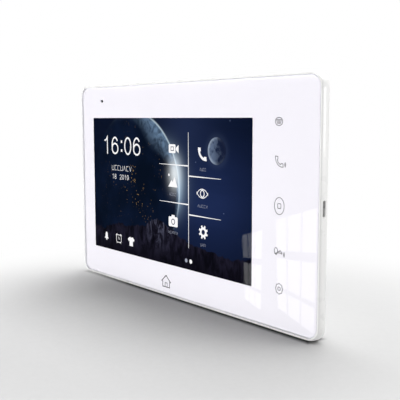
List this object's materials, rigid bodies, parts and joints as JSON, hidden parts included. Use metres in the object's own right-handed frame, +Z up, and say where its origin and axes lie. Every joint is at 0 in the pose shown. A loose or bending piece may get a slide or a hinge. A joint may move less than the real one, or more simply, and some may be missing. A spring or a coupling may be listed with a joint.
{
  "type": "video intercom monitor",
  "caption": "Slim wall-hung video door-phone monitor: white-framed glass front with a wide display, a column of touch keys, a side power switch and a hook-on steel wall bracket.",
  "frame": {"origin": "centre of the bracket's four wall-screw holes, on the bracket's back face, which lies on the wall", "axes": "+X to the viewer's right along the longest side, +Y into the wall, +Z up; the display faces -Y"},
  "size_m": [0.2152, 0.017, 0.127],
  "materials": {
    "bracket_steel": "zinc-plated sheet, satin",
    "cover_glass": "polished, chamfered edge",
    "white_print": "white screen print behind the glass",
    "foam_tape": "double-sided foam tape",
    "frame_white": "moulded, semi-gloss",
    "foam_black": "open-cell foam",
    "lcd_steel": "stamped sheet",
    "display": "display glass, polarised",
    "backlight_white": "moulded light-guide tray",
    "flex_amber": "polyimide film",
    "screw_steel": "zinc plated",
    "screw_black": "black zinc",
    "board_green": "solder mask",
    "chip_black": "moulded epoxy",
    "inductor_grey": "ferrite composite",
    "capacitor_can": "drawn can",
    "crystal_can": "nickel plated",
    "cell_steel": "nickel plated",
    "header_nylon": "natural nylon",
    "tinned_brass": "tin plated",
    "electrode_copper": "bare copper",
    "speaker_steel": "black e-coat",
    "ferrite": "sintered",
    "cone_paper": "pressed paper",
    "wire_red": "PVC insulation",
    "wire_black": "PVC insulation",
    "rubber_black": "moulded rubber",
    "rubber_grey": "moulded rubber",
    "slider_grey": "moulded, fine texture",
    "cover_white": "moulded, fine texture",
    "plate_foil": "blank satin foil"
  },
  "bodies": {
    "bracket": {"wall_bracket": "bracket_steel"},
    "monitor": {"cover_glass": "cover_glass", "glass_print": "white_print", "glass_adhesive": "foam_tape", "front_frame": "frame_white", "lcd_gasket": "foam_black", "lcd_bezel": "lcd_steel", "lcd_panel": "display", "backlight": "backlight_white", "lcd_flex": "flex_amber", "panel_clamps": "lcd_steel", "clamp_screws": "screw_steel", "main_board": "board_green", "board_screws": "screw_steel", "processor": "chip_black", "memory_chips": "chip_black", "video_decoder": "chip_black", "audio_amplifier": "chip_black", "power_inductors": "inductor_grey", "capacitors": "capacitor_can", "clock_crystal": "crystal_can", "battery_holder": "chip_black", "clock_battery": "cell_steel", "key_connector": "header_nylon", "header_door_1": "header_nylon", "header_door_2": "header_nylon", "header_monitor_link": "header_nylon", "header_power": "header_nylon", "header_pins": "tinned_brass", "touch_key_board": "board_green", "touch_electrodes": "electrode_copper", "key_cable": "flex_amber", "speaker_frame": "speaker_steel", "speaker_magnet": "ferrite", "speaker_cone": "cone_paper", "speaker_gasket": "foam_black", "speaker_screws": "screw_steel", "speaker_wires": "wire_red", "microphone": "crystal_can", "microphone_boot": "rubber_black", "microphone_wires": "wire_black", "switch_housing": "crystal_can", "switch_board": "board_green", "switch_wires": "wire_red", "rear_cover": "cover_white", "case_screws": "screw_black", "wall_pads": "rubber_grey", "rating_plate": "plate_foil"},
    "power_slider": {"switch_slider": "slider_grey"}
  },
  "joints": [
    {"name": "lift_off", "type": "slide", "parent": "bracket", "child": "monitor", "axis": [0, 0, 1], "range_m": [0, 0.0065]},
    {"name": "power_switch_slide", "type": "slide", "parent": "monitor", "child": "power_slider", "axis": [0, 0, 1], "range_m": [-0.0035, 0]}
  ]
}
